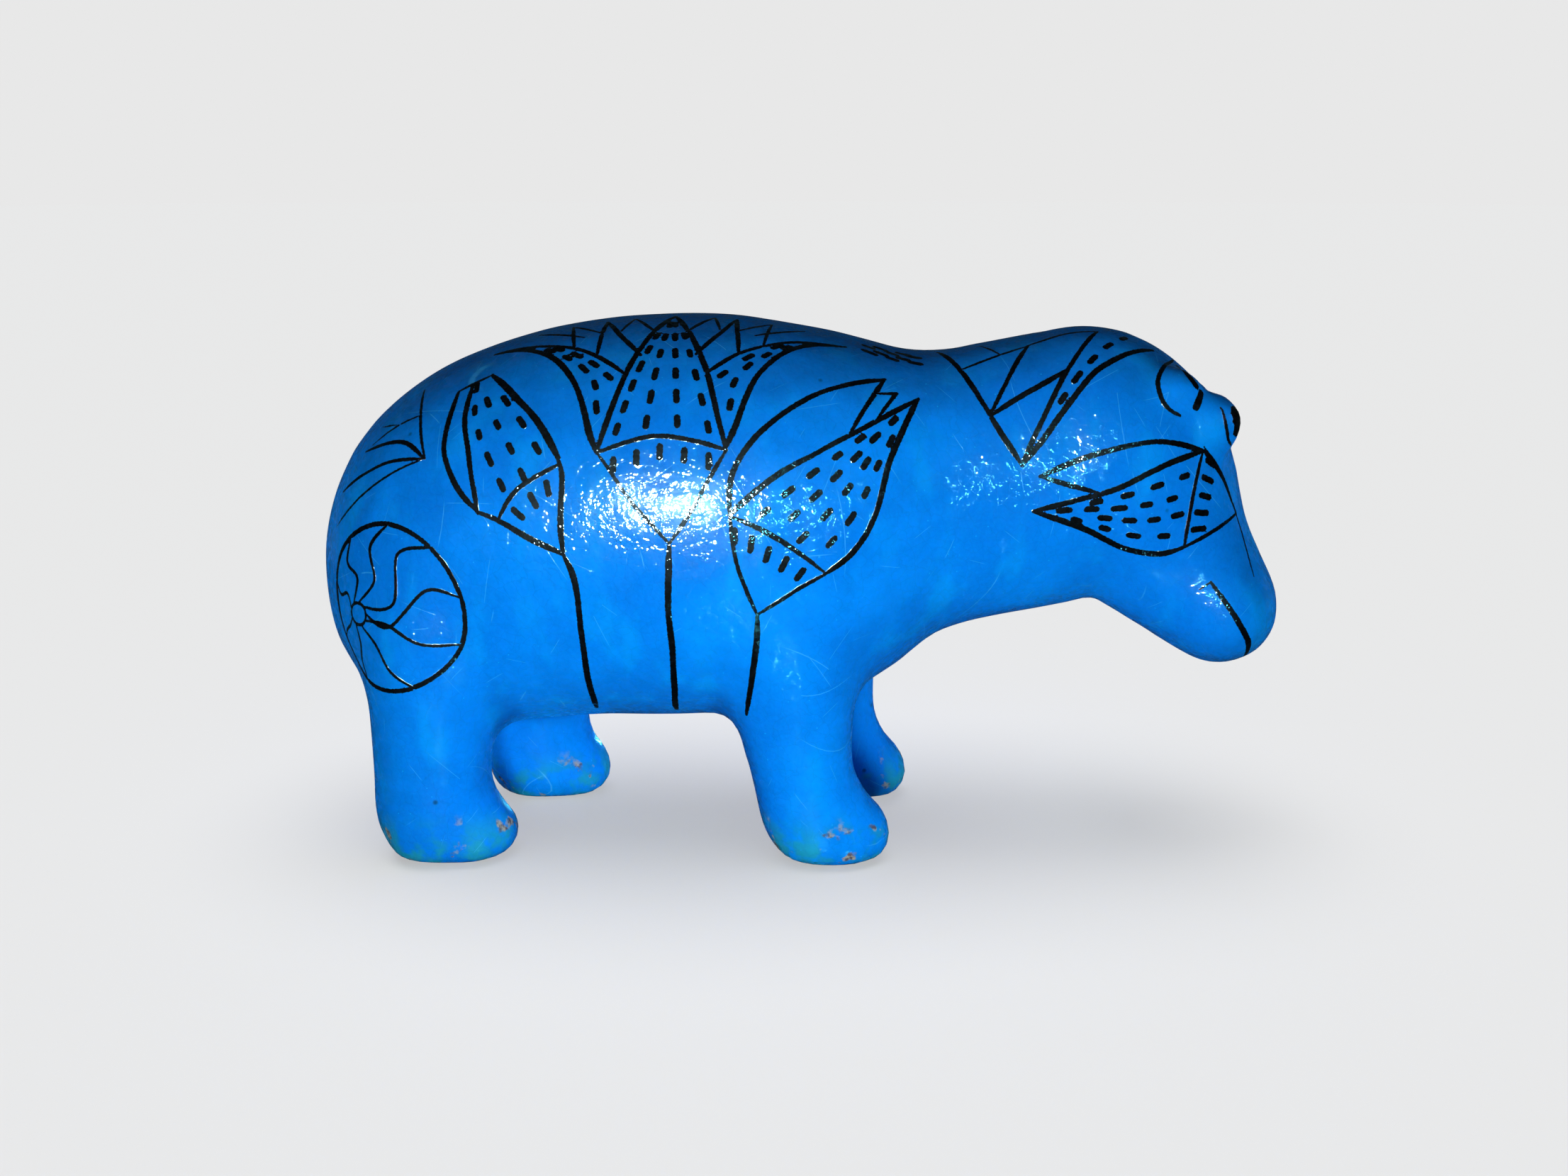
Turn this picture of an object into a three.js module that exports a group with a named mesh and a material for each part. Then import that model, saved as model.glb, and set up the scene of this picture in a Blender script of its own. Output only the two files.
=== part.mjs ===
// A glazed faience hippopotamus of the ancient Egyptian kind: a heavy barrel of a body on four short legs, the
// head lowered, small ears and eyes standing up from the skull. One body of clay, with no base.
//
// Millimetres. +X is the way the animal faces, +Y is its left and +Z is up. The origin is on the ground, in the
// middle of the rectangle that the figure covers.
//
// The figure is laid out as the old workshops did it, on a grid of squares, and modelled as they did it, by
// pressing lumps of clay together: each limb is a run of egg-shaped lumps along a line, and a smear of clay
// fills the corner where one limb meets another. A function says how far any point is from the clay, and the
// mesh is drawn where that distance is nothing.

import * as THREE from "three";

// Driving sizes of the figure.
const LENGTH = 200; // rump to snout
const WIDTH = 75; // across the belly
const HEIGHT = 111; // soles to back

// The layout grid: how many squares it has each way. All places and sizes below are in squares, and the
// finished figure is drawn up from the squares to the sizes above.
const GRID = { x: 40, y: 15, z: 22 };

// How wide the smear of clay is at each kind of join, in squares.
const JOIN = { neck: 1.2, haunch: 1.3, ankle: 1.0, brow: 0.7, ear: 0.6, sole: 0.25 };

// One lump: its centre, its half-sizes (along, across, up), and how far it leans nose-down, in degrees.
const lump = (x, y, z, along, across, up, lean = 0) => ({ x, y, z, along, across, up, lean });

// The barrel of the trunk, from the rump to the root of the neck.
const TRUNK = [
  lump(-14.5, 0, 10.6, 5.4, 5.7, 5.8),
  lump(-12.5, 0, 12.3, 7.1, 6.5, 7.5),
  lump(-8.6, 0, 13.3, 7.4, 7.2, 8.15),
  lump(-4.0, 0, 13.55, 7.0, 7.5, 8.3),
  lump(0.4, 0, 13.6, 5.9, 6.9, 7.65),
  lump(3.0, 0, 14.15, 4.8, 6.0, 6.45),
];

// The neck and skull, then down the muzzle, which is widest at the lips.
const HEAD = [
  lump(6.6, 0, 14.8, 4.3, 5.0, 5.65),
  lump(10.3, 0, 15.5, 4.6, 4.7, 5.65),
  lump(12.7, 0, 15.7, 4.85, 4.6, 5.2),
  lump(15.3, 0, 12.5, 3.5, 3.9, 3.5, 45),
  lump(17.4, 0, 10.2, 2.75, 4.4, 2.6, 50),
];

// Each leg is a run of lumps from inside the trunk to the ankle, and a foot of a heel and a toe. STANCE says
// where each leg stands, as the place of the middle of its shank: the left legs are a step ahead of the right.
const LEG_SPREAD = 3.7; // from the middle plane out to the middle of a leg
const STANCE = {
  right_hind: { x: -15.2, side: -1, kind: "hind" },
  left_hind: { x: -12.1, side: 1, kind: "hind" },
  right_fore: { x: 0.1, side: -1, kind: "fore" },
  left_fore: { x: 1.2, side: 1, kind: "fore" },
};
const SHANK = {
  hind: {
    top: { dx: 0.3, z: 9.5, along: 2.75, across: 2.8 },
    low: { dx: 0, z: 3.0, along: 2.4, across: 2.3 },
  },
  fore: {
    top: { dx: -0.6, z: 9.5, along: 2.85, across: 2.7 },
    low: { dx: 0.15, z: 3.0, along: 2.05, across: 2.1 },
  },
};
const SHANK_TALL = 2.4; // the half-height of each of a shank's lumps
const FOOT = {
  hind: {
    heel: { dx: 0.1, z: 1.5, round: 2.3, tall: 2.1 },
    toe: { dx: 1.5, z: 1.05, round: 2.05, tall: 1.55 },
  },
  fore: {
    heel: { dx: 0.9, z: 1.5, round: 2.2, tall: 2.1 },
    toe: { dx: 1.9, z: 1.05, round: 2.0, tall: 1.55 },
  },
};

// Small lumps on the skull, one on each side.
const EYE = lump(16.5, 2.3, 17.8, 1.2, 1.2, 1.2);
const EAR = lump(15.0, 2.55, 18.9, 1.05, 0.95, 1.1);

// The mesh's cells, in squares. They go from wide on the trunk to fine on the head, forward along X and up
// along Z. Along Y they are all alike, and 22 of them span the grid with its margins.
const MARGIN = 1;
const ACROSS = (GRID.y + 2 * MARGIN) / 22;
const CELL = {
  x: { wide: 0.9, fine: 0.56, from: 7, to: 13 },
  y: { wide: ACROSS, fine: ACROSS, from: 0, to: 1 },
  z: { wide: 0.8, fine: 0.58, from: 14, to: 17 },
};
const STEP = 0.25; // from one lump of a run to the next
const RELAX_ROUNDS = 8;
const SLOPE_STEP = 0.01; // how far apart two readings of the distance are, to find its slope

// The Catmull-Rom curve through b and c at t from 0 to 1.
function catmullRom([a, b, c, d], t) {
  const leaving = (c - a) / 2;
  const arriving = (d - b) / 2;
  const t2 = t * t;
  const t3 = t2 * t;
  return (2 * t3 - 3 * t2 + 1) * b + (t3 - 2 * t2 + t) * leaving + (3 * t2 - 2 * t3) * c + (t3 - t2) * arriving;
}

// A lump with its lean worked out once.
function ready(l) {
  const angle = THREE.MathUtils.degToRad(l.lean);
  return { ...l, cos: Math.cos(angle), sin: Math.sin(angle) };
}

// A run with lumps filled in between the given ones, close enough together to read as one smooth limb.
function fillIn(run) {
  const filled = [];
  for (let i = 0; i + 1 < run.length; i++) {
    const around = [run[Math.max(i - 1, 0)], run[i], run[i + 1], run[Math.min(i + 2, run.length - 1)]];
    const count = Math.ceil(Math.hypot(run[i + 1].x - run[i].x, run[i + 1].z - run[i].z) / STEP);
    for (let k = 0; k < count; k++) {
      const between = {};
      for (const key of Object.keys(run[i])) {
        between[key] = catmullRom(around.map((l) => l[key]), k / count);
      }
      filled.push(between);
    }
  }
  filled.push(run[run.length - 1]);
  return filled.map(ready);
}

// About how far a point is outside a lump; less than nothing inside it.
function toLump(l, x, y, z) {
  const dx = x - l.x;
  const dz = z - l.z;
  const u = (dx * l.cos - dz * l.sin) / l.along;
  const v = (y - l.y) / l.across;
  const w = (dx * l.sin + dz * l.cos) / l.up;
  const reach = Math.sqrt(u * u + v * v + w * w);
  const slope = Math.hypot(u / l.along, v / l.across, w / l.up);
  return slope > 0 ? (reach * (reach - 1)) / slope : -Math.min(l.along, l.across, l.up);
}

function toRun(run, x, y, z) {
  let nearest = Infinity;
  for (const l of run) nearest = Math.min(nearest, toLump(l, x, y, z));
  return nearest;
}

// The nearer of two distances, with the corner between them filled by a smear of the given width.
function joined(a, b, smear) {
  const near = Math.max(smear - Math.abs(a - b), 0) / smear;
  return Math.min(a, b) - (near * near * smear) / 4;
}

function legOf({ x, side, kind }) {
  const y = side * LEG_SPREAD;
  const shank = Object.values(SHANK[kind]).map((s) => lump(x + s.dx, y, s.z, s.along, s.across, SHANK_TALL));
  const foot = Object.values(FOOT[kind]).map((f) => lump(x + f.dx, y, f.z, f.round, f.round, f.tall));
  return { shank: fillIn(shank), foot: fillIn(foot) };
}

const trunk = fillIn(TRUNK);
const head = fillIn(HEAD);
const legs = Object.values(STANCE).map(legOf);
const eye = ready(EYE);
const ear = ready(EAR);

// How far a point is from the whole figure. The last join cuts the feet off flat at the ground.
function toFigure(x, y, z) {
  let d = joined(toRun(trunk, x, y, z), toRun(head, x, y, z), JOIN.neck);
  for (const { shank, foot } of legs) {
    const leg = joined(toRun(shank, x, y, z), toRun(foot, x, y, z), JOIN.ankle);
    d = joined(d, leg, JOIN.haunch);
  }
  d = joined(d, toLump(eye, x, Math.abs(y), z), JOIN.brow);
  d = joined(d, toLump(ear, x, Math.abs(y), z), JOIN.ear);
  return -joined(-d, z, JOIN.sole);
}

// The planes between the cells along one axis.
function planes(axis, low, high) {
  const { wide, fine, from, to } = CELL[axis];
  const found = [low];
  while (found[found.length - 1] < high) {
    const last = found[found.length - 1];
    found.push(last + THREE.MathUtils.lerp(wide, fine, THREE.MathUtils.smoothstep(last, from, to)));
  }
  return found;
}

// The figure's distance at every corner of every cell.
function fieldOf() {
  const xs = planes("x", -GRID.x / 2 - MARGIN, GRID.x / 2 + MARGIN);
  const ys = planes("y", -GRID.y / 2 - MARGIN, GRID.y / 2 + MARGIN);
  const zs = planes("z", -MARGIN, GRID.z + MARGIN);
  const index = (i, j, k) => (k * ys.length + j) * xs.length + i;
  const values = zs.flatMap((z) => ys.flatMap((y) => xs.map((x) => toFigure(x, y, z))));
  return { xs, ys, zs, index, at: (i, j, k) => values[index(i, j, k)] };
}

// A whole number's three lowest bits, as steps along the axes.
function steps(bits) {
  return [bits & 1, (bits >> 1) & 1, (bits >> 2) & 1];
}

// The corners of a cell as steps along the axes, and its twelve edges as pairs of corners.
const CORNERS = [0, 1, 2, 3, 4, 5, 6, 7].map(steps);
const EDGES = CORNERS.flatMap((_, c) => [1, 2, 4].filter((bit) => !(c & bit)).map((bit) => [c, c | bit]));

// The middle of the places where the surface crosses a cell's edges, or nothing where it misses the cell.
function cellPoint({ xs, ys, zs, at }, i, j, k) {
  const value = CORNERS.map(([a, b, c]) => at(i + a, j + b, k + c));
  const crossed = EDGES.filter(([from, to]) => value[from] < 0 !== value[to] < 0);
  if (!crossed.length) return null;
  const place = CORNERS.map(([a, b, c]) => new THREE.Vector3(xs[i + a], ys[j + b], zs[k + c]));
  const middle = new THREE.Vector3();
  for (const [from, to] of crossed) {
    middle.add(place[from].clone().lerp(place[to], value[from] / (value[from] - value[to])));
  }
  return middle.divideScalar(crossed.length);
}

const AXES = [1, 2, 4].map(steps);

// The four cells round a grid edge, as steps back along the two other axes, in turning order.
const AROUND = [0, 1, 3, 2].map(steps);

// A mesh of the surface: one point in each cell that it crosses, and one four-sided face round each edge of
// the grid that it crosses.
function skin() {
  const field = fieldOf();
  const { xs, ys, zs, index, at } = field;
  const points = [];
  const faces = [];
  const pointIn = new Map();
  for (let k = 0; k + 1 < zs.length; k++) {
    for (let j = 0; j + 1 < ys.length; j++) {
      for (let i = 0; i + 1 < xs.length; i++) {
        const point = cellPoint(field, i, j, k);
        if (!point) continue;
        pointIn.set(index(i, j, k), points.length);
        points.push(point);
        AXES.forEach(([a, b, c], axis) => {
          const inside = at(i, j, k) < 0;
          if (inside === at(i + a, j + b, k + c) < 0) return;
          const u = AXES[(axis + 1) % 3];
          const v = AXES[(axis + 2) % 3];
          const cells = AROUND.map(([p, q]) => u.map((_, n) => [i, j, k][n] - p * u[n] - q * v[n]));
          const face = cells.map((cell) => pointIn.get(index(...cell)));
          faces.push(inside ? face : face.reverse());
        });
      }
    }
  }
  return { points, faces };
}

// Moves a point straight onto the surface.
function settle(p) {
  const d = toFigure(p.x, p.y, p.z);
  const slope = new THREE.Vector3(
    toFigure(p.x + SLOPE_STEP, p.y, p.z) - d,
    toFigure(p.x, p.y + SLOPE_STEP, p.z) - d,
    toFigure(p.x, p.y, p.z + SLOPE_STEP) - d,
  ).divideScalar(SLOPE_STEP);
  p.addScaledVector(slope, -d / slope.lengthSq());
}

// Evens the mesh out: each point slides halfway to the middle of its neighbours, then back onto the surface.
function relax({ points, faces }) {
  const neighbours = points.map(() => new Set());
  for (const face of faces) {
    face.forEach((a, n) => {
      const b = face[(n + 1) % face.length];
      neighbours[a].add(b);
      neighbours[b].add(a);
    });
  }
  for (let round = 0; round < RELAX_ROUNDS; round++) {
    const middles = neighbours.map((near) => {
      const middle = new THREE.Vector3();
      for (const n of near) middle.add(points[n]);
      return middle.divideScalar(near.size);
    });
    points.forEach((p, n) => settle(p.lerp(middles[n], 0.5)));
  }
}

// Takes the points from squares to millimetres, with the origin on the ground under the figure's middle.
function drawUp(points) {
  const box = new THREE.Box3().setFromPoints(points);
  const origin = box.getCenter(new THREE.Vector3()).setZ(box.min.z);
  const square = new THREE.Vector3(LENGTH, WIDTH, HEIGHT).divide(box.getSize(new THREE.Vector3()));
  for (const p of points) p.sub(origin).multiply(square);
}

// A four-sided face as two triangles, split along its shorter diagonal.
function triangles(points, [a, b, c, d]) {
  const shortWay = points[a].distanceTo(points[c]) <= points[b].distanceTo(points[d]);
  return shortWay ? [a, b, c, a, c, d] : [a, b, d, b, c, d];
}

function figureGeometry() {
  const { points, faces } = skin();
  relax({ points, faces });
  drawUp(points);
  const geometry = new THREE.BufferGeometry().setFromPoints(points);
  geometry.setIndex(faces.flatMap((face) => triangles(points, face)));
  geometry.computeVertexNormals();
  return geometry;
}

const glaze = new THREE.MeshStandardMaterial({ color: 0x0484f0, roughness: 0.12, metalness: 0 });
glaze.name = "blue_glaze";

const hippo = new THREE.Mesh(figureGeometry(), glaze);
hippo.name = "hippo";

const figurine = new THREE.Group();
figurine.add(hippo);

export default figurine;
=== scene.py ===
# %% [markdown]
# # A blue faience hippopotamus
#
# This lesson finishes one small figure: a hippopotamus of Egyptian faience, painted with the plants of
# the marsh that it lives in. The body comes ready made and to size. What is left is the work of the hand,
# the brush and the kiln: a smooth skin with the slight unevenness of pressed clay, black brush lines, and
# a thick glossy glaze.
#
# It goes in that order: the camera, the skin, the painted plants and face, the glaze, and the light.

# %% Load the body
import math
import random

import bmesh
import bpy
import numpy as np
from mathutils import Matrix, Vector, noise
from mathutils.bvhtree import BVHTree
from mathutils.interpolate import poly_3d_calc
from mathutils.kdtree import KDTree


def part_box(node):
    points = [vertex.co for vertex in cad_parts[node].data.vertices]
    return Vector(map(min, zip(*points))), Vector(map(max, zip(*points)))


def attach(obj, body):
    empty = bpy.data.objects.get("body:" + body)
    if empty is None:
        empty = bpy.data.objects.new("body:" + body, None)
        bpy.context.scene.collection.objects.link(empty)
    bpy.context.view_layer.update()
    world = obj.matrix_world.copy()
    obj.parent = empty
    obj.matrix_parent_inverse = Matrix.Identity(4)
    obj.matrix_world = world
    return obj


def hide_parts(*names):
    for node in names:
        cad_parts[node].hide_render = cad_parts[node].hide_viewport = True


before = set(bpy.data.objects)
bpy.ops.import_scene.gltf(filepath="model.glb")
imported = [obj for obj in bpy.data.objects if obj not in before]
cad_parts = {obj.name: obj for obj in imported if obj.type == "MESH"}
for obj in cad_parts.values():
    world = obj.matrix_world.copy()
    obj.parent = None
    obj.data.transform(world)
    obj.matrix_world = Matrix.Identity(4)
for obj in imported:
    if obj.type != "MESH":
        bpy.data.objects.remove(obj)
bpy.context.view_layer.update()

MM = 0.001  # everything in Blender is in metres, and this lesson's sizes are in millimetres
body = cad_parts["hippo"]
low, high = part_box("hippo")
print("the body measures", [round(side / MM) for side in high - low], "mm")

# %% [markdown]
# ## The camera
#
# The figure is small and the camera stands close, about 35 cm away. That is why the far ear and eye are
# hidden behind the brow and the far feet stand higher in the picture: it is perspective, and a long lens
# would lose it. The lens follows from how many pixels a millimetre covers at the point that the camera
# looks at.

# %% The camera
PICTURE_WIDE = 2212  # pixels
SENSOR = 36.0
AIM = Vector((-3.4, 0, 53)) * MM
ROUND, ABOVE = math.radians(1), math.radians(14.5)
DISTANCE = 350 * MM
PIXELS_PER_MM = 6.63

away = Vector((math.sin(ROUND) * math.cos(ABOVE), -math.cos(ROUND) * math.cos(ABOVE), math.sin(ABOVE)))
camera = bpy.data.objects.new("camera", bpy.data.cameras.new("camera"))
camera.data.sensor_width = SENSOR
camera.data.lens = SENSOR * PIXELS_PER_MM * (DISTANCE / MM) / PICTURE_WIDE
camera.data.clip_start = 10 * MM
camera.location = AIM + away * DISTANCE
camera.rotation_mode = "QUATERNION"
camera.rotation_quaternion = (-away).to_track_quat("-Z", "Y")
bpy.context.scene.collection.objects.link(camera)
bpy.context.scene.camera = camera
print("a lens of", round(camera.data.lens, 1), "mm")

# %% [markdown]
# ## The skin
#
# The body is a closed mesh of flat facets. Three ways lead from there to smooth clay: shade it smooth,
# which leaves a polygon's outline; remesh it, which eats the ears; or weld it, pair its triangles into
# four-sided faces and subdivide, which keeps every form and rounds it. The last is used. The result is
# far denser than a piece should be, so it serves as the form that everything else is pressed against.

# %% Smooth the clay
def as_object(name, mesh):
    made = bpy.data.objects.new(name, mesh)
    bpy.context.scene.collection.objects.link(made)
    return made


def evaluated(obj, name):
    """A plain mesh of what the object's modifiers make, which are then removed."""
    depsgraph = bpy.context.evaluated_depsgraph_get()
    mesh = bpy.data.meshes.new_from_object(obj.evaluated_get(depsgraph))
    mesh.name = name
    obj.modifiers.clear()
    return mesh


def subdivided(mesh, levels, name):
    obj = as_object(name, mesh)
    modifier = obj.modifiers.new("smooth", "SUBSURF")
    modifier.levels = modifier.render_levels = levels
    made = evaluated(obj, name)
    bpy.data.objects.remove(obj)
    return made


def copied(mesh, name):
    """The mesh's welded copy, in four-sided faces wherever two triangles pair up."""
    clay = bmesh.new()
    clay.from_mesh(mesh)
    bmesh.ops.remove_doubles(clay, verts=clay.verts, dist=0.001 * MM)
    bmesh.ops.join_triangles(
        clay, faces=clay.faces, angle_face_threshold=math.pi, angle_shape_threshold=math.pi
    )
    made = bpy.data.meshes.new(name)
    clay.to_mesh(made)
    clay.free()
    return made


clay = copied(body.data, "clay")
print(len(clay.polygons), "faces in the welded copy")

# %% [markdown]
# Clay that was pressed and wiped by hand is never true. Its long soft waves don't show in the outline,
# but a glossy glaze gives them away in every reflection. They are a noise that only ever presses inwards,
# so that the figure doesn't grow, and it fades out at the soles, which were rubbed flat on a board.

# %% Press the clay by hand
WAVES = [(17, 0.30), (7, 0.07)]  # each kind of dent: how wide it is, and how deep, in mm
FLAT_BELOW, FREE_ABOVE = 1.0, 7.0  # mm over the ground


def stored(items, key, size):
    """What each item stores under a key, as rows of numbers."""
    values = np.empty(len(items) * size, np.float32)
    items.foreach_get(key, values)
    return values.reshape(-1, size)


def coordinates(mesh):
    return stored(mesh.vertices, "co", 3)


def vertex_normals(mesh):
    return stored(mesh.vertex_normals, "vector", 3)


def press_by_hand(mesh):
    co = coordinates(mesh)
    normals = vertex_normals(mesh)
    depth = np.zeros(len(co))
    for wide, deep in WAVES:
        dents = [0.5 + 0.5 * noise.noise(Vector(p) / (wide * MM)) for p in co]
        depth += deep * MM * np.array(dents)
    free = np.clip((co[:, 2] / MM - FLAT_BELOW) / (FREE_ABOVE - FLAT_BELOW), 0, 1)
    co -= normals * (depth * free)[:, None]
    mesh.vertices.foreach_set("co", co.ravel())
    mesh.update()
    return depth * free


pressed_clay = subdivided(clay, 2, "pressed_clay")
depth = press_by_hand(pressed_clay)
form = subdivided(pressed_clay, 1, "form")
form_faces = [tuple(p.vertices) for p in form.polygons]
form_co = [Vector(p) for p in coordinates(form)]
form_normals = [Vector(n) for n in vertex_normals(form)]
form_tree = BVHTree.FromPolygons(form_co, form_faces)
print("dents up to", round(depth.max() / MM, 2), "mm deep on a form of", len(form_faces), "faces")

# %% Find a point of the form, and which way it faces
def onto_form(point):
    """The nearest point of the form, and its smooth normal."""
    found, _, face, _ = form_tree.find_nearest(point)
    corners = form_faces[face]
    weights = poly_3d_calc([form_co[c] for c in corners], found)
    normal = sum((form_normals[c] * w for c, w in zip(corners, weights)), Vector())
    return found, normal.normalized()


print("the back is at", round(onto_form(Vector((-20, 0, 200)) * MM)[0].z / MM, 1), "mm")

# %% [markdown]
# ## Drawing on a curved skin
#
# The plants were drawn with a brush on a body that curves every way. There are two plain ways to carry a
# drawing from a flat sheet to such a skin, and both are used. A drawing on the barrel of the body is
# rolled round it: one way runs along the body and the other is measured round its girth from the line of
# the spine, so a petal keeps its length as it climbs over the back. A drawing on a cheek or a haunch is
# pressed on from one side, as a stamp would be.

# %% Roll a drawing round the body
GIRTH_STEPS = 120
SECTION_STEP = 2 * MM
SECTIONS_FROM, SECTIONS_TO = -94 * MM, 80 * MM
INSIDE = 62 * MM  # a height that is inside the body at each section


def cast(start, direction):
    return form_tree.ray_cast(start, direction)[0]


def section(x):
    """The axis height at x, and for each side the girth run at each of many angles from straight up."""
    top = cast(Vector((x, 0, INSIDE)), Vector((0, 0, 1)))
    bottom = cast(Vector((x, 0, INSIDE)), Vector((0, 0, -1)))
    axis = (top.z + bottom.z) / 2
    angles = np.linspace(0, math.pi, GIRTH_STEPS)
    runs = {}
    for side in (-1, 1):
        rim = [cast(Vector((x, 0, axis)), Vector((0, side * math.sin(a), math.cos(a)))) for a in angles]
        steps = [(b - a).length for a, b in zip(rim, rim[1:])]
        runs[side] = np.concatenate([[0], np.cumsum(steps)])
    return axis, angles, runs


sections = [section(x) for x in np.arange(SECTIONS_FROM, SECTIONS_TO, SECTION_STEP)]


def rolled(along, round_girth, side):
    """The point at a place along the body and a distance round it from the spine, in metres."""
    place = np.clip((along - SECTIONS_FROM) / SECTION_STEP, 0, len(sections) - 1.001)
    first = int(place)
    share = place - first
    if round_girth < 0:
        side, round_girth = -side, -round_girth
    axis = turn = 0
    for (height, angles, runs), weight in zip(sections[first:first + 2], (1 - share, share)):
        axis += weight * height
        turn += weight * np.interp(round_girth, runs[side], angles)
    return cast(Vector((along, 0, axis)), Vector((0, side * math.sin(turn), math.cos(turn))))


print(len(sections), "sections along the body")

# %% Place a drawing: its own sheet, turned and set down
RIGHT, LEFT = -1, 1  # the sides of the body, as signs of y
STAND_OFF = 60  # mm from which a drawing is pressed on, clear of the body


def barrel(side):
    """Carries places along the body and round it. Up is towards the spine, so a flank is below 0."""
    return lambda along, up: rolled(along * MM, -up * MM, side)


def pressed(centre, azimuth, climb=0):
    """Carries a sheet pressed on from one side. Azimuth 0 faces the right flank and 90 faces the nose."""
    a, e = math.radians(azimuth), math.radians(climb)
    out = Vector((math.sin(a) * math.cos(e), -math.cos(a) * math.cos(e), math.sin(e)))
    across = Vector((math.cos(a), math.sin(a), 0))
    up = out.cross(across)
    start = (Vector(centre) + out * STAND_OFF) * MM
    return lambda u, v: cast(start + (across * u + up * v) * MM, -out)


def placed(sheet, along, up, turn=0, mirror=1):
    """Sets a drawing down on a sheet, turned leftwards by some degrees and mirrored if asked."""
    c, s = math.cos(math.radians(turn)), math.sin(math.radians(turn))

    def carry(a, b):
        across, rise = a * c - b * s, a * s + b * c
        return sheet(along + across * mirror, up + rise)

    return carry


print("the haunch is at", [round(c / MM) for c in pressed((-80, -28, 56), -32)(0, 0)])

# %% [markdown]
# ## The brush
#
# A brush line starts fine, swells as the brush is pressed down and ends fine, and its edge is never quite
# straight. Each line is kept as a run of points on the skin with the brush's half-width at each. Rows of
# short dashes repeat along a path, so only the path is kept here and Geometry Nodes set the dashes along
# it later.

# %% Lines and rows of dashes
BROAD, MIDDLE, FINE, HAIR = 0.64, 0.50, 0.37, 0.26  # half-widths of a brush line, in mm
POINT_STEP = 0.4  # mm between the points of a line
TREMBLE, SWAY = 0.20, 9  # how far the hand strays and over what length, in mm
SWELL, SWELL_RUN = 0.24, 10  # how much the width of a line comes and goes, as a share, and over how many mm
TAPER_RUN = 3.5  # mm at each end over which a line thins
ROW_STEPS = 8  # the steps in which a row of dashes follows two edges
hand = random.Random(7)
lines = []
dash_paths = []


def smooth_through(points, corners=False):
    """Close points along a curve through the given ones, or along straight runs between them."""
    points = [Vector(p) for p in points]
    path = []
    for i in range(len(points) - 1):
        a, b, c, d = (points[min(max(k, 0), len(points) - 1)] for k in (i - 1, i, i + 1, i + 2))
        count = max(2, int((c - b).length / POINT_STEP))
        for k in range(count):
            t = k / count
            if corners:
                path.append(b.lerp(c, t))
                continue
            out, back = (c - a) / 2, (d - b) / 2
            path.append(
                b * (2 * t**3 - 3 * t**2 + 1) + out * (t**3 - 2 * t**2 + t)
                + c * (3 * t**2 - 2 * t**3) + back * (t**3 - t**2)
            )
    path.append(points[-1])
    return path


def brush(carry, points, width=MIDDLE, corners=False, ends=0.6):
    """Draws one line. It thins to the share `ends` of its width over its last few millimetres."""
    path = smooth_through(points, corners)
    start = hand.uniform(0, 100)
    length = sum((b - a).length for a, b in zip(path, path[1:]))
    run = 0
    drawn = []
    for n, p in enumerate(path):
        run += (p - path[n - 1]).length if n else 0
        sway = start + run / SWAY
        stray = Vector((noise.noise((sway, 0, 0)), noise.noise((sway, 9, 0)))) * TREMBLE
        swell = 1 + SWELL * noise.noise((start, run / SWELL_RUN, 3))
        fade = min(run, length - run) / TAPER_RUN
        taper = ends + (1 - ends) * min(1, max(0, fade))
        point = carry(p.x + stray.x, p.y + stray.y)
        if point is not None:
            drawn.append((point, width * swell * taper * MM))
    lines.append(drawn)


def dashes(carry, points):
    path = [carry(p.x, p.y) for p in smooth_through(points)]
    dash_paths.append([p for p in path if p is not None])


def lone_dash(carry, place, towards):
    """One dash: a row too short for a second."""
    start = Vector(place)
    dashes(carry, [start, start + (Vector(towards) - start).normalized() * 0.5])


def between(p, q, share):
    return Vector(p).lerp(Vector(q), share)


def dashes_between(carry, first, second, share, start, stop):
    """A row of dashes between two edges, at a share of the way from the first to the second."""
    first, second = smooth_through(first), smooth_through(second)
    row = []
    for k in range(ROW_STEPS + 1):
        at = start + (stop - start) * k / ROW_STEPS
        row.append(between(first[round(at * (len(first) - 1))], second[round(at * (len(second) - 1))], share))
    dashes(carry, row)


print("a broad line is", 2 * BROAD, "mm wide")

# %% [markdown]
# ## The plants
#
# Lotus flowers, buds and lily pads are the common ornament of these figures, and painters had one way to
# draw each: a flower from the side with its calyx leaves dashed and its petals as a zigzag, a bud with
# one calyx leaf in front of another, and a pad as a disc with veins that run out from its stalk. Here
# each is a function of its own sizes, drawn on a flat sheet in millimetres with its calyx at the origin
# and its tip upwards.

# %% An open lotus
def bowed(start, end, shares):
    """A line from start to end by way of places given as shares of the way across and of the way up."""
    way = end - start
    return [start, *(start + Vector((way.x * u, way.y * v)) for u, v in shares), end]


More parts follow.
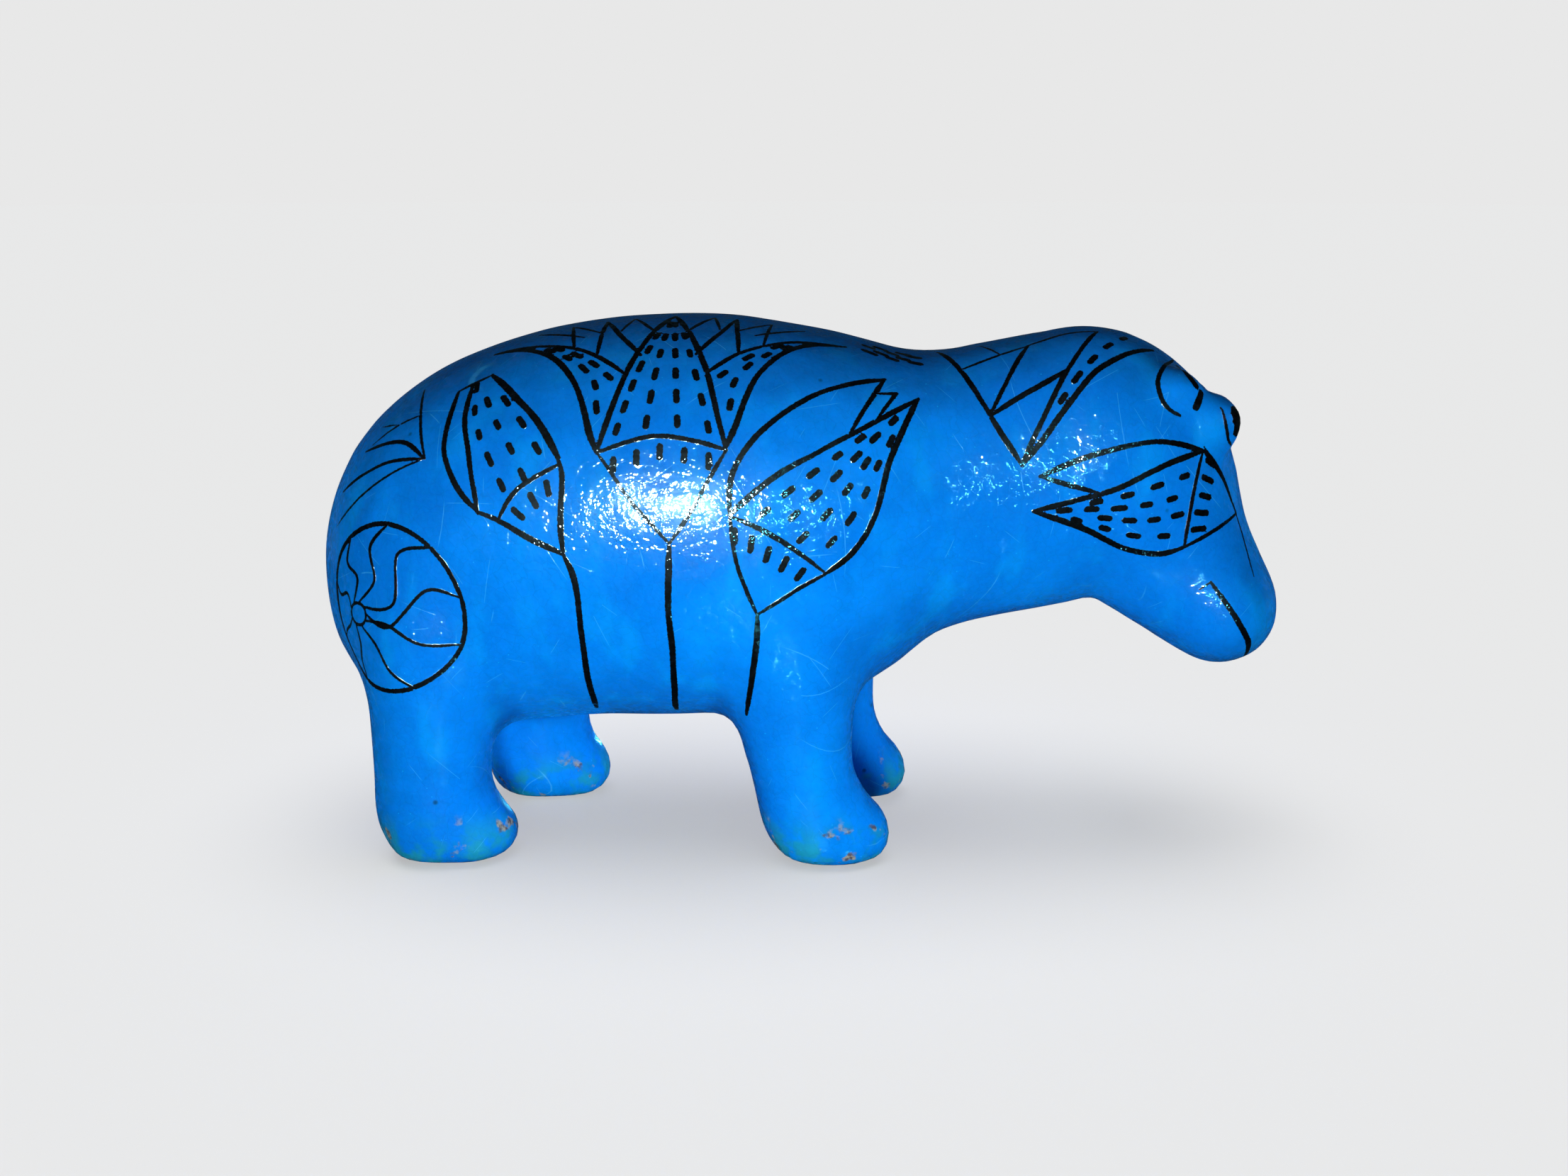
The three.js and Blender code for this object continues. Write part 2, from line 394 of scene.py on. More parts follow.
def open_lotus(carry, tall, reach, cup_tall, cup_half, lean=0.0):
    """A dashed calyx leaf in the middle, one at each side that flares out, and a row of petals behind."""
    tip = Vector((lean * 0.5, tall))
    for s in (-1, 1):
        cup = Vector((s * cup_half + lean, cup_tall))
        end = Vector((s * reach + lean, tall * 0.90))
        bulge = Vector((s * 0.9, 0))
        brush(carry, [(0, 0), (cup.x * 0.52, cup_tall * 0.46), cup], MIDDLE * 0.85)
        outer = bowed(cup, end, ((0.07, 0.14), (0.15, 0.34), (0.27, 0.56), (0.50, 0.80), (0.75, 0.94)))
        brush(carry, outer, BROAD)
        brush(carry, [cup, between(cup, tip, 0.5) + bulge, tip], BROAD * 0.95)
        inner = bowed(between(cup, tip, 0.43) + bulge, end, ((0.22, 0.38), (0.45, 0.67), (0.70, 0.88)))
        brush(carry, inner, BROAD * 0.8)
        petals_behind(carry, s, inner, cup, tip)
        dashes_between(carry, outer, [cup, *inner], 0.36, 0.22, 0.82)
        dashes_between(carry, outer, [cup, *inner], 0.66, 0.36, 0.68)
    left, right = Vector((lean - cup_half, cup_tall)), Vector((lean + cup_half, cup_tall))
    brush(carry, [left, between(left, right, 0.45) + Vector((0, 2.2)), right], MIDDLE)
    for share in (0.15, 0.38, 0.62, 0.86):
        inwards = 1 - abs(share - 0.5) * 2
        start = between(left, right, share) + Vector((0, 3.6 + 2 * inwards))
        dashes(carry, [start, between(start, tip, 0.60 + 0.30 * inwards)])
    for share in (0.13, 0.31, 0.49, 0.68, 0.87):
        head = between(left, right, share) + Vector((0, -3.0 + 2.4 * (1 - abs(share - 0.5) * 2)))
        lone_dash(carry, head, head + Vector((0, -1)))


def petals_behind(carry, s, inner, cup, tip):
    """Petals behind the leaves. Each ends near the spine, and the front one hides parts of the others."""
    bow, flare, late = inner[1:4]
    top = tip.y - 1.0
    front = Vector((bow.x - s * 0.8, top))
    front_foot = between(cup, tip, 0.56)
    second, third, fourth = Vector((bow.x * 0.58, top)), Vector((flare.x, top)), Vector((late.x, top - 0.5))
    brush(carry, [bow, front], MIDDLE, corners=True)
    brush(carry, [front, between(front, front_foot, 0.5) + Vector((s * 0.8, 0)), front_foot], MIDDLE)
    for start, end, width in (
        (between(front, front_foot, 0.42), second, FINE), (second, between(cup, tip, 0.76), MIDDLE * 0.9),
        (third, between(front, bow, 0.45), FINE), (third, between(bow, flare, 0.75), FINE),
        (fourth, between(third, bow, 0.5), FINE),
    ):
        brush(carry, [start, end], width, corners=True)


print("an open lotus is drawn in 25 lines")

# %% A half-open bud and a shut one
def half_open_bud(carry, tall, half, lean=0.0, back=1.2, petal=True):
    """A dashed calyx leaf in front, another behind it with a tip of its own, and a petal between the tips."""
    def at(a, b):
        return Vector((half * (a + lean * b * b), tall * b))

    tip, back_tip, base_left, base_right = at(0.27, 1), at(-0.32, 1), at(-1.05, 0.25), at(0.58, 0.26)
    swell = [at(-back, 0.37), at(-back, 0.50), at(-back * 0.88, 0.64), at(-back * 0.66, 0.80)]
    right_edge = [base_right, at(0.76, 0.38), at(0.74, 0.54), at(0.48, 0.74), tip]
    front = [base_left, at(-0.86, 0.38), at(-0.62, 0.50), at(-0.22, 0.68), tip]
    brush(carry, [(0, 0), at(0.30, 0.14), base_right], MIDDLE * 0.9)
    brush(carry, [(0, 0), at(-0.62, 0.12), base_left], MIDDLE * 0.9)
    brush(carry, right_edge, MIDDLE * 1.25)
    brush(carry, front, MIDDLE * 1.15)
    brush(carry, [base_left, *swell, back_tip], MIDDLE * 1.15)
    notch = at(-0.17, 0.71)
    brush(carry, [back_tip, notch], MIDDLE, corners=True)
    if petal:
        tooth = between(back_tip, tip, 0.45) + at(0, -0.03)
        zigzag = [between(back_tip, notch, 0.30), tooth, between(notch, tip, 0.38)]
        brush(carry, zigzag, MIDDLE * 0.8, corners=True)
    brush(carry, [base_left, between(base_left, base_right, 0.5) + at(0, 0.015), base_right], MIDDLE)
    for n in range(4):
        late = n % 2
        stop = (0.64, 0.84)[late] - 0.04 * n
        dashes_between(carry, front, right_edge, 0.20 + 0.60 * n / 3, 0.10 + 0.05 * late, stop)
    for n in range(5):
        head = between(base_left, base_right, (n + 0.65) / 5.8) + at(0, -0.045)
        lone_dash(carry, head, between(head, (0, 0), 0.3) + Vector((0, -3)))


def closed_bud(carry, tall, half):
    """A shut bud: its front leaf, the edge of the leaf behind it, and a dashed band at its foot."""
    def at(a, b):
        return Vector((half * a, tall * b))

    tip, back_tip, foot_left, foot_right = at(0.25, 0.99), at(-0.32, 1.03), at(-0.90, 0.41), at(0.60, 0.38)
    fold = [between(back_tip, tip, 0.45), at(-0.42, 0.86), at(-0.62, 0.68), foot_left]
    brush(carry, [(0, 0), at(-0.28, 0.12), at(-0.67, 0.31), foot_left], BROAD)
    brush(carry, [foot_left, at(-1.0, 0.56), at(-0.99, 0.70), at(-0.86, 0.83), back_tip], BROAD * 0.9)
    brush(carry, [(0, 0), at(0.17, 0.12), at(0.52, 0.29), foot_right], BROAD * 0.9)
    brush(carry, [foot_right, at(0.59, 0.52), at(0.50, 0.68), tip], BROAD * 1.25)
    brush(carry, [back_tip, tip], BROAD * 0.7, corners=True)
    brush(carry, fold, BROAD * 0.9)
    brush(carry, [at(-0.66, 0.32), at(-0.20, 0.375), at(0.56, 0.355)], BROAD * 0.8)
    edge = [at(0.56, 0.36), at(0.59, 0.52), at(0.50, 0.68), tip]
    for share, start, stop in ((0.22, 0.14, 0.92), (0.52, 0.10, 0.74), (0.82, 0.20, 0.66)):
        dashes_between(carry, [at(-0.66, 0.36), *reversed(fold[:3])], edge, share, start, stop)
    for share in (0.22, 0.50, 0.76):
        head = between(at(-0.60, 0.28), at(0.52, 0.30), share)
        lone_dash(carry, head, between(head, (0, 0), 0.2))


print("a half-open bud is drawn in 8 lines and a shut one in 7")

# %% A lily pad and a fan of petals
VEINS = 9
HUB = (2.8, 2.2)  # half the width and height of the ring where a pad's stalk joins it, in mm
OVAL = 0.97  # a pad's width for its height


def lily_pad(carry, radius, hub):
    """A round floating leaf, with veins that swing out from its stalk to the rim."""
    def ring(centre, wide, tall, turn):
        return Vector((centre[0] + wide * math.cos(turn), centre[1] + tall * math.sin(turn)))

    turns = [math.tau * k / 40 for k in range(41)]
    brush(carry, [ring((0, 0), radius * OVAL, radius, t) for t in turns], MIDDLE, ends=0.9)
    brush(carry, [ring(hub, *HUB, t) for t in turns[::4]], FINE, ends=0.9)
    for n in range(VEINS):
        turn = math.tau * (n + 0.30 + 0.7 * noise.noise((n * 1.7, 5, 0))) / VEINS
        foot, rim = ring(hub, *HUB, turn), ring((0, 0), radius * OVAL, radius, turn)
        out = ring((0, 0), 1, 1, turn)
        way = 1 if out.y > -0.2 else -0.35
        swing = out.orthogonal() * way * (0.15 + 0.16 * noise.noise((n * 2.3, 0, 7))) * (rim - foot).length
        vein = [foot, between(foot, rim, 0.30) - swing, between(foot, rim, 0.70) + swing * 0.8, rim]
        brush(carry, vein, FINE)


def fan(carry, tall, back, front):
    """A flower seen half from above: two leaves spread from one point, and a zigzag of petals between."""
    def inner(share):
        return Vector((front * 0.60 * share**1.15, tall * 0.91 * share))

    back_edge = [(0, 0), (-back * 0.40, tall * 0.33), (-back * 0.75, tall * 0.71), (-back, tall * 0.98)]
    front_edge = [Vector((front * a, tall * b)) for a, b in
                  ((0, 0), (0.15, 0.14), (0.29, 0.29), (0.51, 0.50), (0.66, 0.61), (1.0, 0.86))]
    inner_edge = [inner(share) for share in (0, 0.25, 0.5, 0.75, 1)]
    brush(carry, back_edge, MIDDLE * 1.15)
    brush(carry, front_edge, MIDDLE * 1.25)
    brush(carry, inner_edge, MIDDLE)
    low, high, peak = Vector(back_edge[1]), inner(0.62), Vector((front * 0.08, tall * 0.83))
    brush(carry, [low, high], MIDDLE * 1.15, corners=True)
    brush(carry, [low, peak], MIDDLE, corners=True)
    brush(carry, [peak, Vector(back_edge[2])], FINE, corners=True)
    brush(carry, [peak, between(peak, inner(1), 0.5) + Vector((0, 1.2)), inner(1)], FINE)
    brush(carry, [between(peak, back_edge[2], 0.4), (-back * 0.45, tall * 0.97)], HAIR, corners=True)
    dashes_between(carry, inner_edge, front_edge, 0.5, 0.40, 0.97)


def trailing_petals(carry, long, spread):
    """A flower that points one way and trails its petals behind it, as seen over a rounded back."""
    fork, last = Vector((-spread * 0.36, spread * 0.47)), (-spread * 0.63, spread * 0.80)
    brush(carry, [(0, 0), (-spread * 0.18, spread * 0.24), fork, last], FINE)
    for turn, share, bow, weight in ((3, 0.75, 0.14, MIDDLE), (24, 1.0, 0.05, FINE), (38, 1.14, 0.02, HAIR)):
        out = Vector((-math.cos(math.radians(turn)), -math.sin(math.radians(turn)))) * long * share
        rise = Vector((-out.y, out.x)) * -bow
        brush(carry, [(0, 0), out * 0.4 + rise, out], weight, ends=0.5)
    end = (-long * 0.69, spread * 0.03)
    branch = between(fork, end, 0.45) + Vector((0, 0.8))
    brush(carry, [fork, branch, end], HAIR)
    brush(carry, [branch, (-long * 0.72, spread * 0.26)], HAIR, ends=0.4)


print("a pad is drawn in", VEINS + 2, "lines")

# %% [markdown]
# ## Painting the figure
#
# The right side carries an open lotus between two buds, with their stems rising from the belly, a pad on
# the haunch, a fan of petals over the rump and another over the crown, and a bud on the cheek. The other
# side was turned from the light and is plainer, but a painter kept the same plan on both. Places on the
# body are along it from its middle and round it from the spine, in millimetres.

# %% Paint the flanks and the back
right, left = barrel(RIGHT), barrel(LEFT)
open_lotus(placed(right, -24.4, -60), tall=56, reach=35, cup_tall=18.4, cup_half=12.2, lean=-1.6)
brush(placed(right, -24.4, -60), [(0, 0), (-0.4, -10), (-0.2, -26), (-0.8, -46)], BROAD)
closed_bud(placed(right, -44.6, -60, turn=24), tall=46, half=11)
brush(placed(right, -44.6, -60), [(0, 0), (2.0, -6), (2.6, -20), (3.0, -43)], BROAD)
half_open_bud(placed(right, -7.9, -73, turn=-24), tall=61, half=12, lean=0.3, back=1.3)
brush(placed(right, -7.9, -73), [(0, 0), (-0.4, -8), (-2.6, -25)], BROAD)

open_lotus(placed(left, -26, -62, mirror=-1), tall=56, reach=33, cup_tall=17.5, cup_half=11.5)
brush(placed(left, -26, -62), [(0, 0), (-0.5, -20), (0.3, -44)], BROAD)
half_open_bud(placed(left, -8, -73, turn=-22), tall=55, half=11.5, lean=0.2)
brush(placed(left, -8, -73), [(0, 0), (0.8, -12), (0.4, -24)], BROAD)
closed_bud(placed(left, -46, -60, turn=22), tall=43, half=11)
brush(placed(left, -46, -60), [(0, 0), (2.4, -12), (3.4, -40)], BROAD)
print(len(lines), "lines and", len(dash_paths), "rows of dashes so far")

# %% Paint the haunches, the rump and the crown
lily_pad(pressed((-81.2, -28, 55.8), -32), radius=16.6, hub=(-7, -2))
lily_pad(pressed((-78, 28, 55), 212), radius=16, hub=(5, 2))
trailing_petals(placed(pressed((-84, -18, 84), -40, climb=30), 13, 2), long=24, spread=18)
trailing_petals(placed(pressed((-84, 18, 84), 220, climb=30), -13, 1, mirror=-1), long=21, spread=16)
fan(placed(right, 43.2, -35), tall=33, back=15.3, front=27.5)
fan(placed(left, 43.2, -34.5), tall=29, back=14, front=25)
for n in range(5):
    for rise in (-6.2, -9.0):
        lone_dash(right, (13.5 + 2.3 * n, rise + 1.1 * (n % 2)), (20 + 2.3 * n, rise - 1.5 + 1.1 * (n % 2)))
print(len(lines), "lines so far")

# %% [markdown]
# ## The face
#
# The eyes are knobs with a black pupil and a lid line under it, the ears have a rim line and two dark
# strokes for the hollow, and a single line draws the mouth up the cheek. All of it is the same brush, so
# the pupil is only a very short line from a fully pressed brush.

# %% Paint the face, the same on both sides
def straight_in(side):
    """Carries places given as along and up, straight in from the side."""
    return lambda x, z: cast(Vector((x, side * STAND_OFF, z)) * MM, Vector((0, -side, 0)))


def spot(carry, place, radius):
    """A filled round spot: a very short line from a brush pressed flat."""
    x, y = place
    brush(carry, [(x - 0.3, y), (x + 0.3, y)], radius, ends=1.0)


def paint_cheek(side):
    sheet = straight_in(side)
    half_open_bud(placed(sheet, 88.3, 72, turn=82), tall=42.5, half=-11.8, back=1.12, petal=False)
    brush(sheet, [(79.5, 86.5), (84.5, 80), (89.0, 70), (91.5, 60)], HAIR, ends=0.7)


def paint_mouth_and_ear(side):
    sheet = straight_in(side)
    brush(sheet, [(82.1, 59.8), (84.8, 56.0), (87.4, 52.2), (90.4, 47.2), (91.4, 42.5)], MIDDLE * 1.05)
    brush(sheet, [(79.9, 58.2), (82.1, 59.8)], HAIR)
    rim = [(75.4, 102.0), (72.2, 101.6), (70.2, 99.2), (70.6, 96.2), (72.0, 94.2), (74.4, 92.8)]
    brush(sheet, rim, MIDDLE * 0.95)
    brush(sheet, [(75.8, 101.0), (77.8, 98.2)], 0.72, ends=1.0)
    brush(sheet, [(78.8, 96.9), (77.7, 94.3)], 0.78, ends=1.0)


def paint_eye(side):
    eye = pressed((83.0, side * 11.5, 90.3), 90 + side * 38, climb=8)
    for rise, radius in ((1.6, 2.2), (0.2, 2.5), (-1.4, 2.1)):
        spot(eye, (0.3 * side, rise), radius)
    brush(eye, [(side * 3.5, 3.4), (side * 3.8, 0.3), (side * 2.5, -3.0), (side * 0.2, -4.6)], HAIR * 1.3)


for side in (RIGHT, LEFT):
    paint_cheek(side)
    paint_mouth_and_ear(side)
    paint_eye(side)
print(len(lines), "lines and", len(dash_paths), "rows of dashes in all")

# %% [markdown]
# ## Dashes along a path
#
# A row of dashes is the same short stroke over and over, with a little less care each time. Geometry
# Nodes do that well: the paths become curves, points are set along them at an even spacing, a short line
# is put at each point and turned along the path, and a random scale stands for the hand.

# %% Helpers for node trees
def new_tree(name, inputs):
    """A Geometry Nodes tree with the given named inputs, as sockets, and the node where its result goes."""
    tree = bpy.data.node_groups.new(name, "GeometryNodeTree")
    for label, kind, value in [("Geometry", "NodeSocketGeometry", None), *inputs]:
        socket = tree.interface.new_socket(label, in_out="INPUT", socket_type=kind)
        if value is not None:
            socket.default_value = value
    tree.interface.new_socket("Geometry", in_out="OUTPUT", socket_type="NodeSocketGeometry")
    return tree, tree.nodes.new("NodeGroupInput").outputs, tree.nodes.new("NodeGroupOutput")


def add(tree, kind, wires=(), **settings):
    """A node with its settings and inputs. An input is a plain value, a socket or a node's first output."""
    node = tree.nodes.new(kind)
    for name, value in settings.items():
        setattr(node, name, value)
    for name, value in dict(wires).items():
        if isinstance(value, bpy.types.Node):
            value = value.outputs[0]
        if isinstance(value, bpy.types.NodeSocket):
            tree.links.new(value, node.inputs[name])
        else:
            node.inputs[name].default_value = value
    return node


def calc(tree, operation, a, b):
    return add(tree, "ShaderNodeMath", {0: a, 1: b}, operation=operation)


def with_tree(obj, tree, values):
    """Gives an object the tree, with its inputs set by the identifiers of their sockets."""
    modifier = obj.modifiers.new(tree.name, "NODES")
    modifier.node_group = tree
    for item in tree.interface.items_tree:
        if item.in_out == "INPUT" and item.name in values:
            modifier[item.identifier] = values[item.name]
    return obj


print("a node takes sockets, nodes and plain values alike")

# %% Build the tree that sets the dashes
def dash_tree():
    tree, given, made = new_tree("dashes_along_paths", [
        ("Spacing", "NodeSocketFloat", 4.8 * MM),
        ("Dash Length", "NodeSocketFloat", 1.8 * MM),
        ("Half Width", "NodeSocketFloat", 0.65 * MM),
        ("Unevenness", "NodeSocketFloat", 0.25),
        ("Seed", "NodeSocketInt", 4),
        ("Material", "NodeSocketMaterial", None),
    ])
    curve = add(tree, "GeometryNodeMeshToCurve", {0: given["Geometry"]})
    points = add(tree, "GeometryNodeResampleCurve", {
        "Curve": curve, "Length": given["Spacing"],
    }, mode="LENGTH")
    span = add(tree, "ShaderNodeCombineXYZ", {"Z": given["Dash Length"]})
    line = add(tree, "GeometryNodeMeshLine", {"Count": 5, "Offset": span}, mode="END_POINTS")
    half = add(tree, "ShaderNodeVectorMath", {0: span, "Scale": -0.5}, operation="SCALE")
    centred = add(tree, "GeometryNodeSetPosition", {0: line, "Offset": half})
    tangent = add(tree, "GeometryNodeInputTangent")
    along = add(tree, "FunctionNodeAlignRotationToVector", {"Vector": tangent}, axis="Z")
    size = add(tree, "FunctionNodeRandomValue", {
        2: calc(tree, "SUBTRACT", 1.0, given["Unevenness"]), 3: calc(tree, "ADD", 1.0, given["Unevenness"]),
        "Seed": given["Seed"],
    }, data_type="FLOAT")
    set_down = add(tree, "GeometryNodeInstanceOnPoints", {
        "Points": points, "Instance": centred, "Rotation": along, "Scale": size.outputs[1],
    })
    real = add(tree, "GeometryNodeRealizeInstances", {0: set_down})
    marked = add(tree, "GeometryNodeStoreNamedAttribute", {
        "Geometry": real, "Name": "half_width", "Value": given["Half Width"],
    }, data_type="FLOAT", domain="POINT")
    finished = add(tree, "GeometryNodeSetMaterial", {0: marked, "Material": given["Material"]})
    tree.links.new(finished.outputs[0], made.inputs[0])
    return tree


def polylines(name, runs):
    """A mesh of bare edges along each run of points."""
    mesh = bpy.data.meshes.new(name)
    verts = [p for run in runs for p in run]
    edges = []
    first = 0
    for run in runs:
        edges += [(first + k, first + k + 1) for k in range(len(run) - 1)]
        first += len(run)
    mesh.from_pydata(verts, edges, [])
    return as_object(name, mesh)


paths = with_tree(polylines("dash_paths", dash_paths), dash_tree(), {})
dash_mesh = evaluated(paths, "dashes")
print(len(dash_mesh.vertices) // 5, "dashes along", len(dash_paths), "paths")

# %% [markdown]
# ## From brush lines to ink
#
# Brush lines this thin would need a picture, or a mesh that is fine enough to hold them. A picture is a
# second thing to keep and goes blurred close up, so the mesh holds them: each vertex of the skin stores
# how far it is from the nearest brush edge, less than nothing under the ink. That distance runs smoothly
# from vertex to vertex, so the line where it is nothing is sharp even on fairly large faces. Only near
# the lines are the faces split small, and the rest of the skin stays light.

# %% Gather every brush mark in one mesh of edges
def kd_tree(points):
    """Finds the nearest of the points, by their numbers."""
    tree = KDTree(len(points))
    for n, p in enumerate(points):
        tree.insert(p, n)
    tree.balance()
    return tree


brushwork = polylines("brushwork", [[p for p, _ in line] for line in lines])
widths = brushwork.data.attributes.new("half_width", "FLOAT", "POINT")
widths.data.foreach_set("value", np.array([w for line in lines for _, w in line], np.float32))
marks = bmesh.new()
marks.from_mesh(brushwork.data)
marks.from_mesh(dash_mesh)
marks.to_mesh(brushwork.data)
marks.free()
bpy.data.objects.remove(paths)
mark_points = coordinates(brushwork.data)
mark_widths = stored(brushwork.data.attributes["half_width"].data, "value", 1)[:, 0]
mark_tree = kd_tree(mark_points)
print(len(mark_points), "points of brushwork")

# %% Split the skin's faces near the brush lines
EDGE_PER_WIDTH = 1.15  # the longest edge in a line, as a share of the line's half-width
GROWTH = 0.95  # how fast an edge may lengthen with its distance from the line
SHORTEST, LONGEST = 0.36, 9.0  # mm
SPLIT_ROUNDS = 6


def may_be_long(point):
    """The longest edge allowed at a point of the skin."""
    _, n, distance = mark_tree.find(point)
    beyond = max(0, distance - mark_widths[n])
    return min(max(EDGE_PER_WIDTH * mark_widths[n], SHORTEST * MM) + GROWTH * beyond, LONGEST * MM)


def split_near_lines(mesh):
    skin = bmesh.new()
    skin.from_mesh(mesh)
    bmesh.ops.triangulate(skin, faces=skin.faces)
    for _ in range(SPLIT_ROUNDS):
        long_ones = []
        for e in skin.edges:
            long = e.calc_length()
            a, b = e.verts[0].co, e.verts[1].co
            if long > SHORTEST * MM and long > min(may_be_long(a), may_be_long(b), may_be_long((a + b) / 2)):
                long_ones.append(e)
        if not long_ones:
            break
        bmesh.ops.subdivide_edges(skin, edges=long_ones, cuts=1)
        bmesh.ops.triangulate(skin, faces=[f for f in skin.faces if len(f.verts) > 3])
    return skin


def settle(skin, name):
    """Presses every vertex onto the form and gives it the form's own smooth normal."""
    normals = []
    for v in skin.verts:
        v.co, normal = onto_form(v.co)
        normals.append(normal)
    mesh = bpy.data.meshes.new(name)
    skin.to_mesh(mesh)
    skin.free()
    mesh.shade_smooth()
    mesh.normals_split_custom_set_from_vertices(normals)
    return mesh


skin_mesh = settle(split_near_lines(subdivided(clay, 1, "light_skin")), "hippo_skin")
print(len(skin_mesh.polygons), "triangles in the skin")

# %% [markdown]
# The measuring itself suits Geometry Nodes: Geometry Proximity gives the distance from each vertex to the
# nearest edge of the brushwork, and the brush's half-width there is taken off. A second attribute says
# how hollow the skin is, because a runny glaze pools in hollows and thins over edges.

# %% Build the tree that stores the ink
def ink_tree():
    tree, given, made = new_tree("ink_on_skin", [
        ("Brushwork", "NodeSocketObject", None),
        ("Ragged", "NodeSocketFloat", 0.10),
        ("Ragged Size", "NodeSocketFloat", 1.6 * MM),
        ("Seed", "NodeSocketFloat", 2.0),
        ("Material", "NodeSocketMaterial", None),
    ])
    work = add(tree, "GeometryNodeObjectInfo", {"Object": given["Brushwork"]}).outputs["Geometry"]
    near = add(tree, "GeometryNodeProximity", {0: work}, target_element="EDGES").outputs["Distance"]
    which = add(tree, "GeometryNodeSampleNearest", {0: work}, domain="POINT")
    wide = add(tree, "GeometryNodeInputNamedAttribute", {"Name": "half_width"}, data_type="FLOAT")
    width = add(tree, "GeometryNodeSampleIndex", {
        "Geometry": work, "Value": wide, "Index": which,
    }, data_type="FLOAT", domain="POINT")
    per_size = calc(tree, "DIVIDE", 1.0, given["Ragged Size"])
    ragged = add(tree, "ShaderNodeTexNoise", {
        "Vector": add(tree, "GeometryNodeInputPosition"), "W": given["Seed"],
        "Scale": per_size, "Detail": 1.0,
    }, noise_dimensions="4D")
    swing = calc(tree, "MULTIPLY", calc(tree, "SUBTRACT", ragged, 0.5), given["Ragged"])
    edge = calc(tree, "MULTIPLY", width, calc(tree, "ADD", 1.0, swing))
    in_mm = calc(tree, "DIVIDE", calc(tree, "SUBTRACT", near, edge), MM)
    stored = add(tree, "GeometryNodeStoreNamedAttribute", {
        "Geometry": given["Geometry"], "Name": "ink", "Value": in_mm,
    }, data_type="FLOAT", domain="POINT")
    real = add(tree, "GeometryNodeRealizeInstances", {0: stored})
    finished = add(tree, "GeometryNodeSetMaterial", {0: real, "Material": given["Material"]})
    tree.links.new(finished.outputs[0], made.inputs[0])
    return tree


stores_ink = ink_tree()
print(len(stores_ink.nodes), "nodes find the ink")

# %% Measure the hollows of the skin
HOLLOW_ROUNDS = 40
HOLLOW_DEPTH = 1.2  # mm of hollow that counts as full
BLENDED = 4  # how many vertices of the coarse skin a hollow is blended from


def hollows(mesh):
    """How far each vertex lies under a much smoothed copy of the skin, as a share from -1 to 1."""
    edges = np.empty(len(mesh.edges) * 2, np.int64)
    mesh.edges.foreach_get("vertices", edges)
    a, b = edges.reshape(-1, 2).T
    start = coordinates(mesh).astype(float)
    count = np.bincount(np.concatenate([a, b]), minlength=len(start))[:, None]
    co = start.copy()
    for _ in range(HOLLOW_ROUNDS):
        total = np.zeros_like(co)
        np.add.at(total, a, co[b])
        np.add.at(total, b, co[a])
        co = 0.5 * co + 0.5 * total / count
    depth = ((co - start) * vertex_normals(mesh)).sum(1)
    return np.clip(depth / (HOLLOW_DEPTH * MM), -1, 1)


coarse = subdivided(clay, 1, "coarse")
coarse_hollow = hollows(coarse)
hollow_tree = kd_tree(coordinates(coarse))


def hollow_at(point):
    """The hollow there, blended between the nearest vertices of the coarse skin."""
    found = hollow_tree.find_n(point, BLENDED)
    weights = [1 / (d + 0.1 * MM) for _, _, d in found]
    return sum(w * coarse_hollow[n] for w, (_, n, _) in zip(weights, found)) / sum(weights)


hollow = skin_mesh.attributes.new("hollow", "FLOAT", "POINT")
hollow.data.foreach_set("value", np.array([hollow_at(v.co) for v in skin_mesh.vertices], np.float32))
print("hollows from", round(float(coarse_hollow.min()), 2), "to", round(float(coarse_hollow.max()), 2))
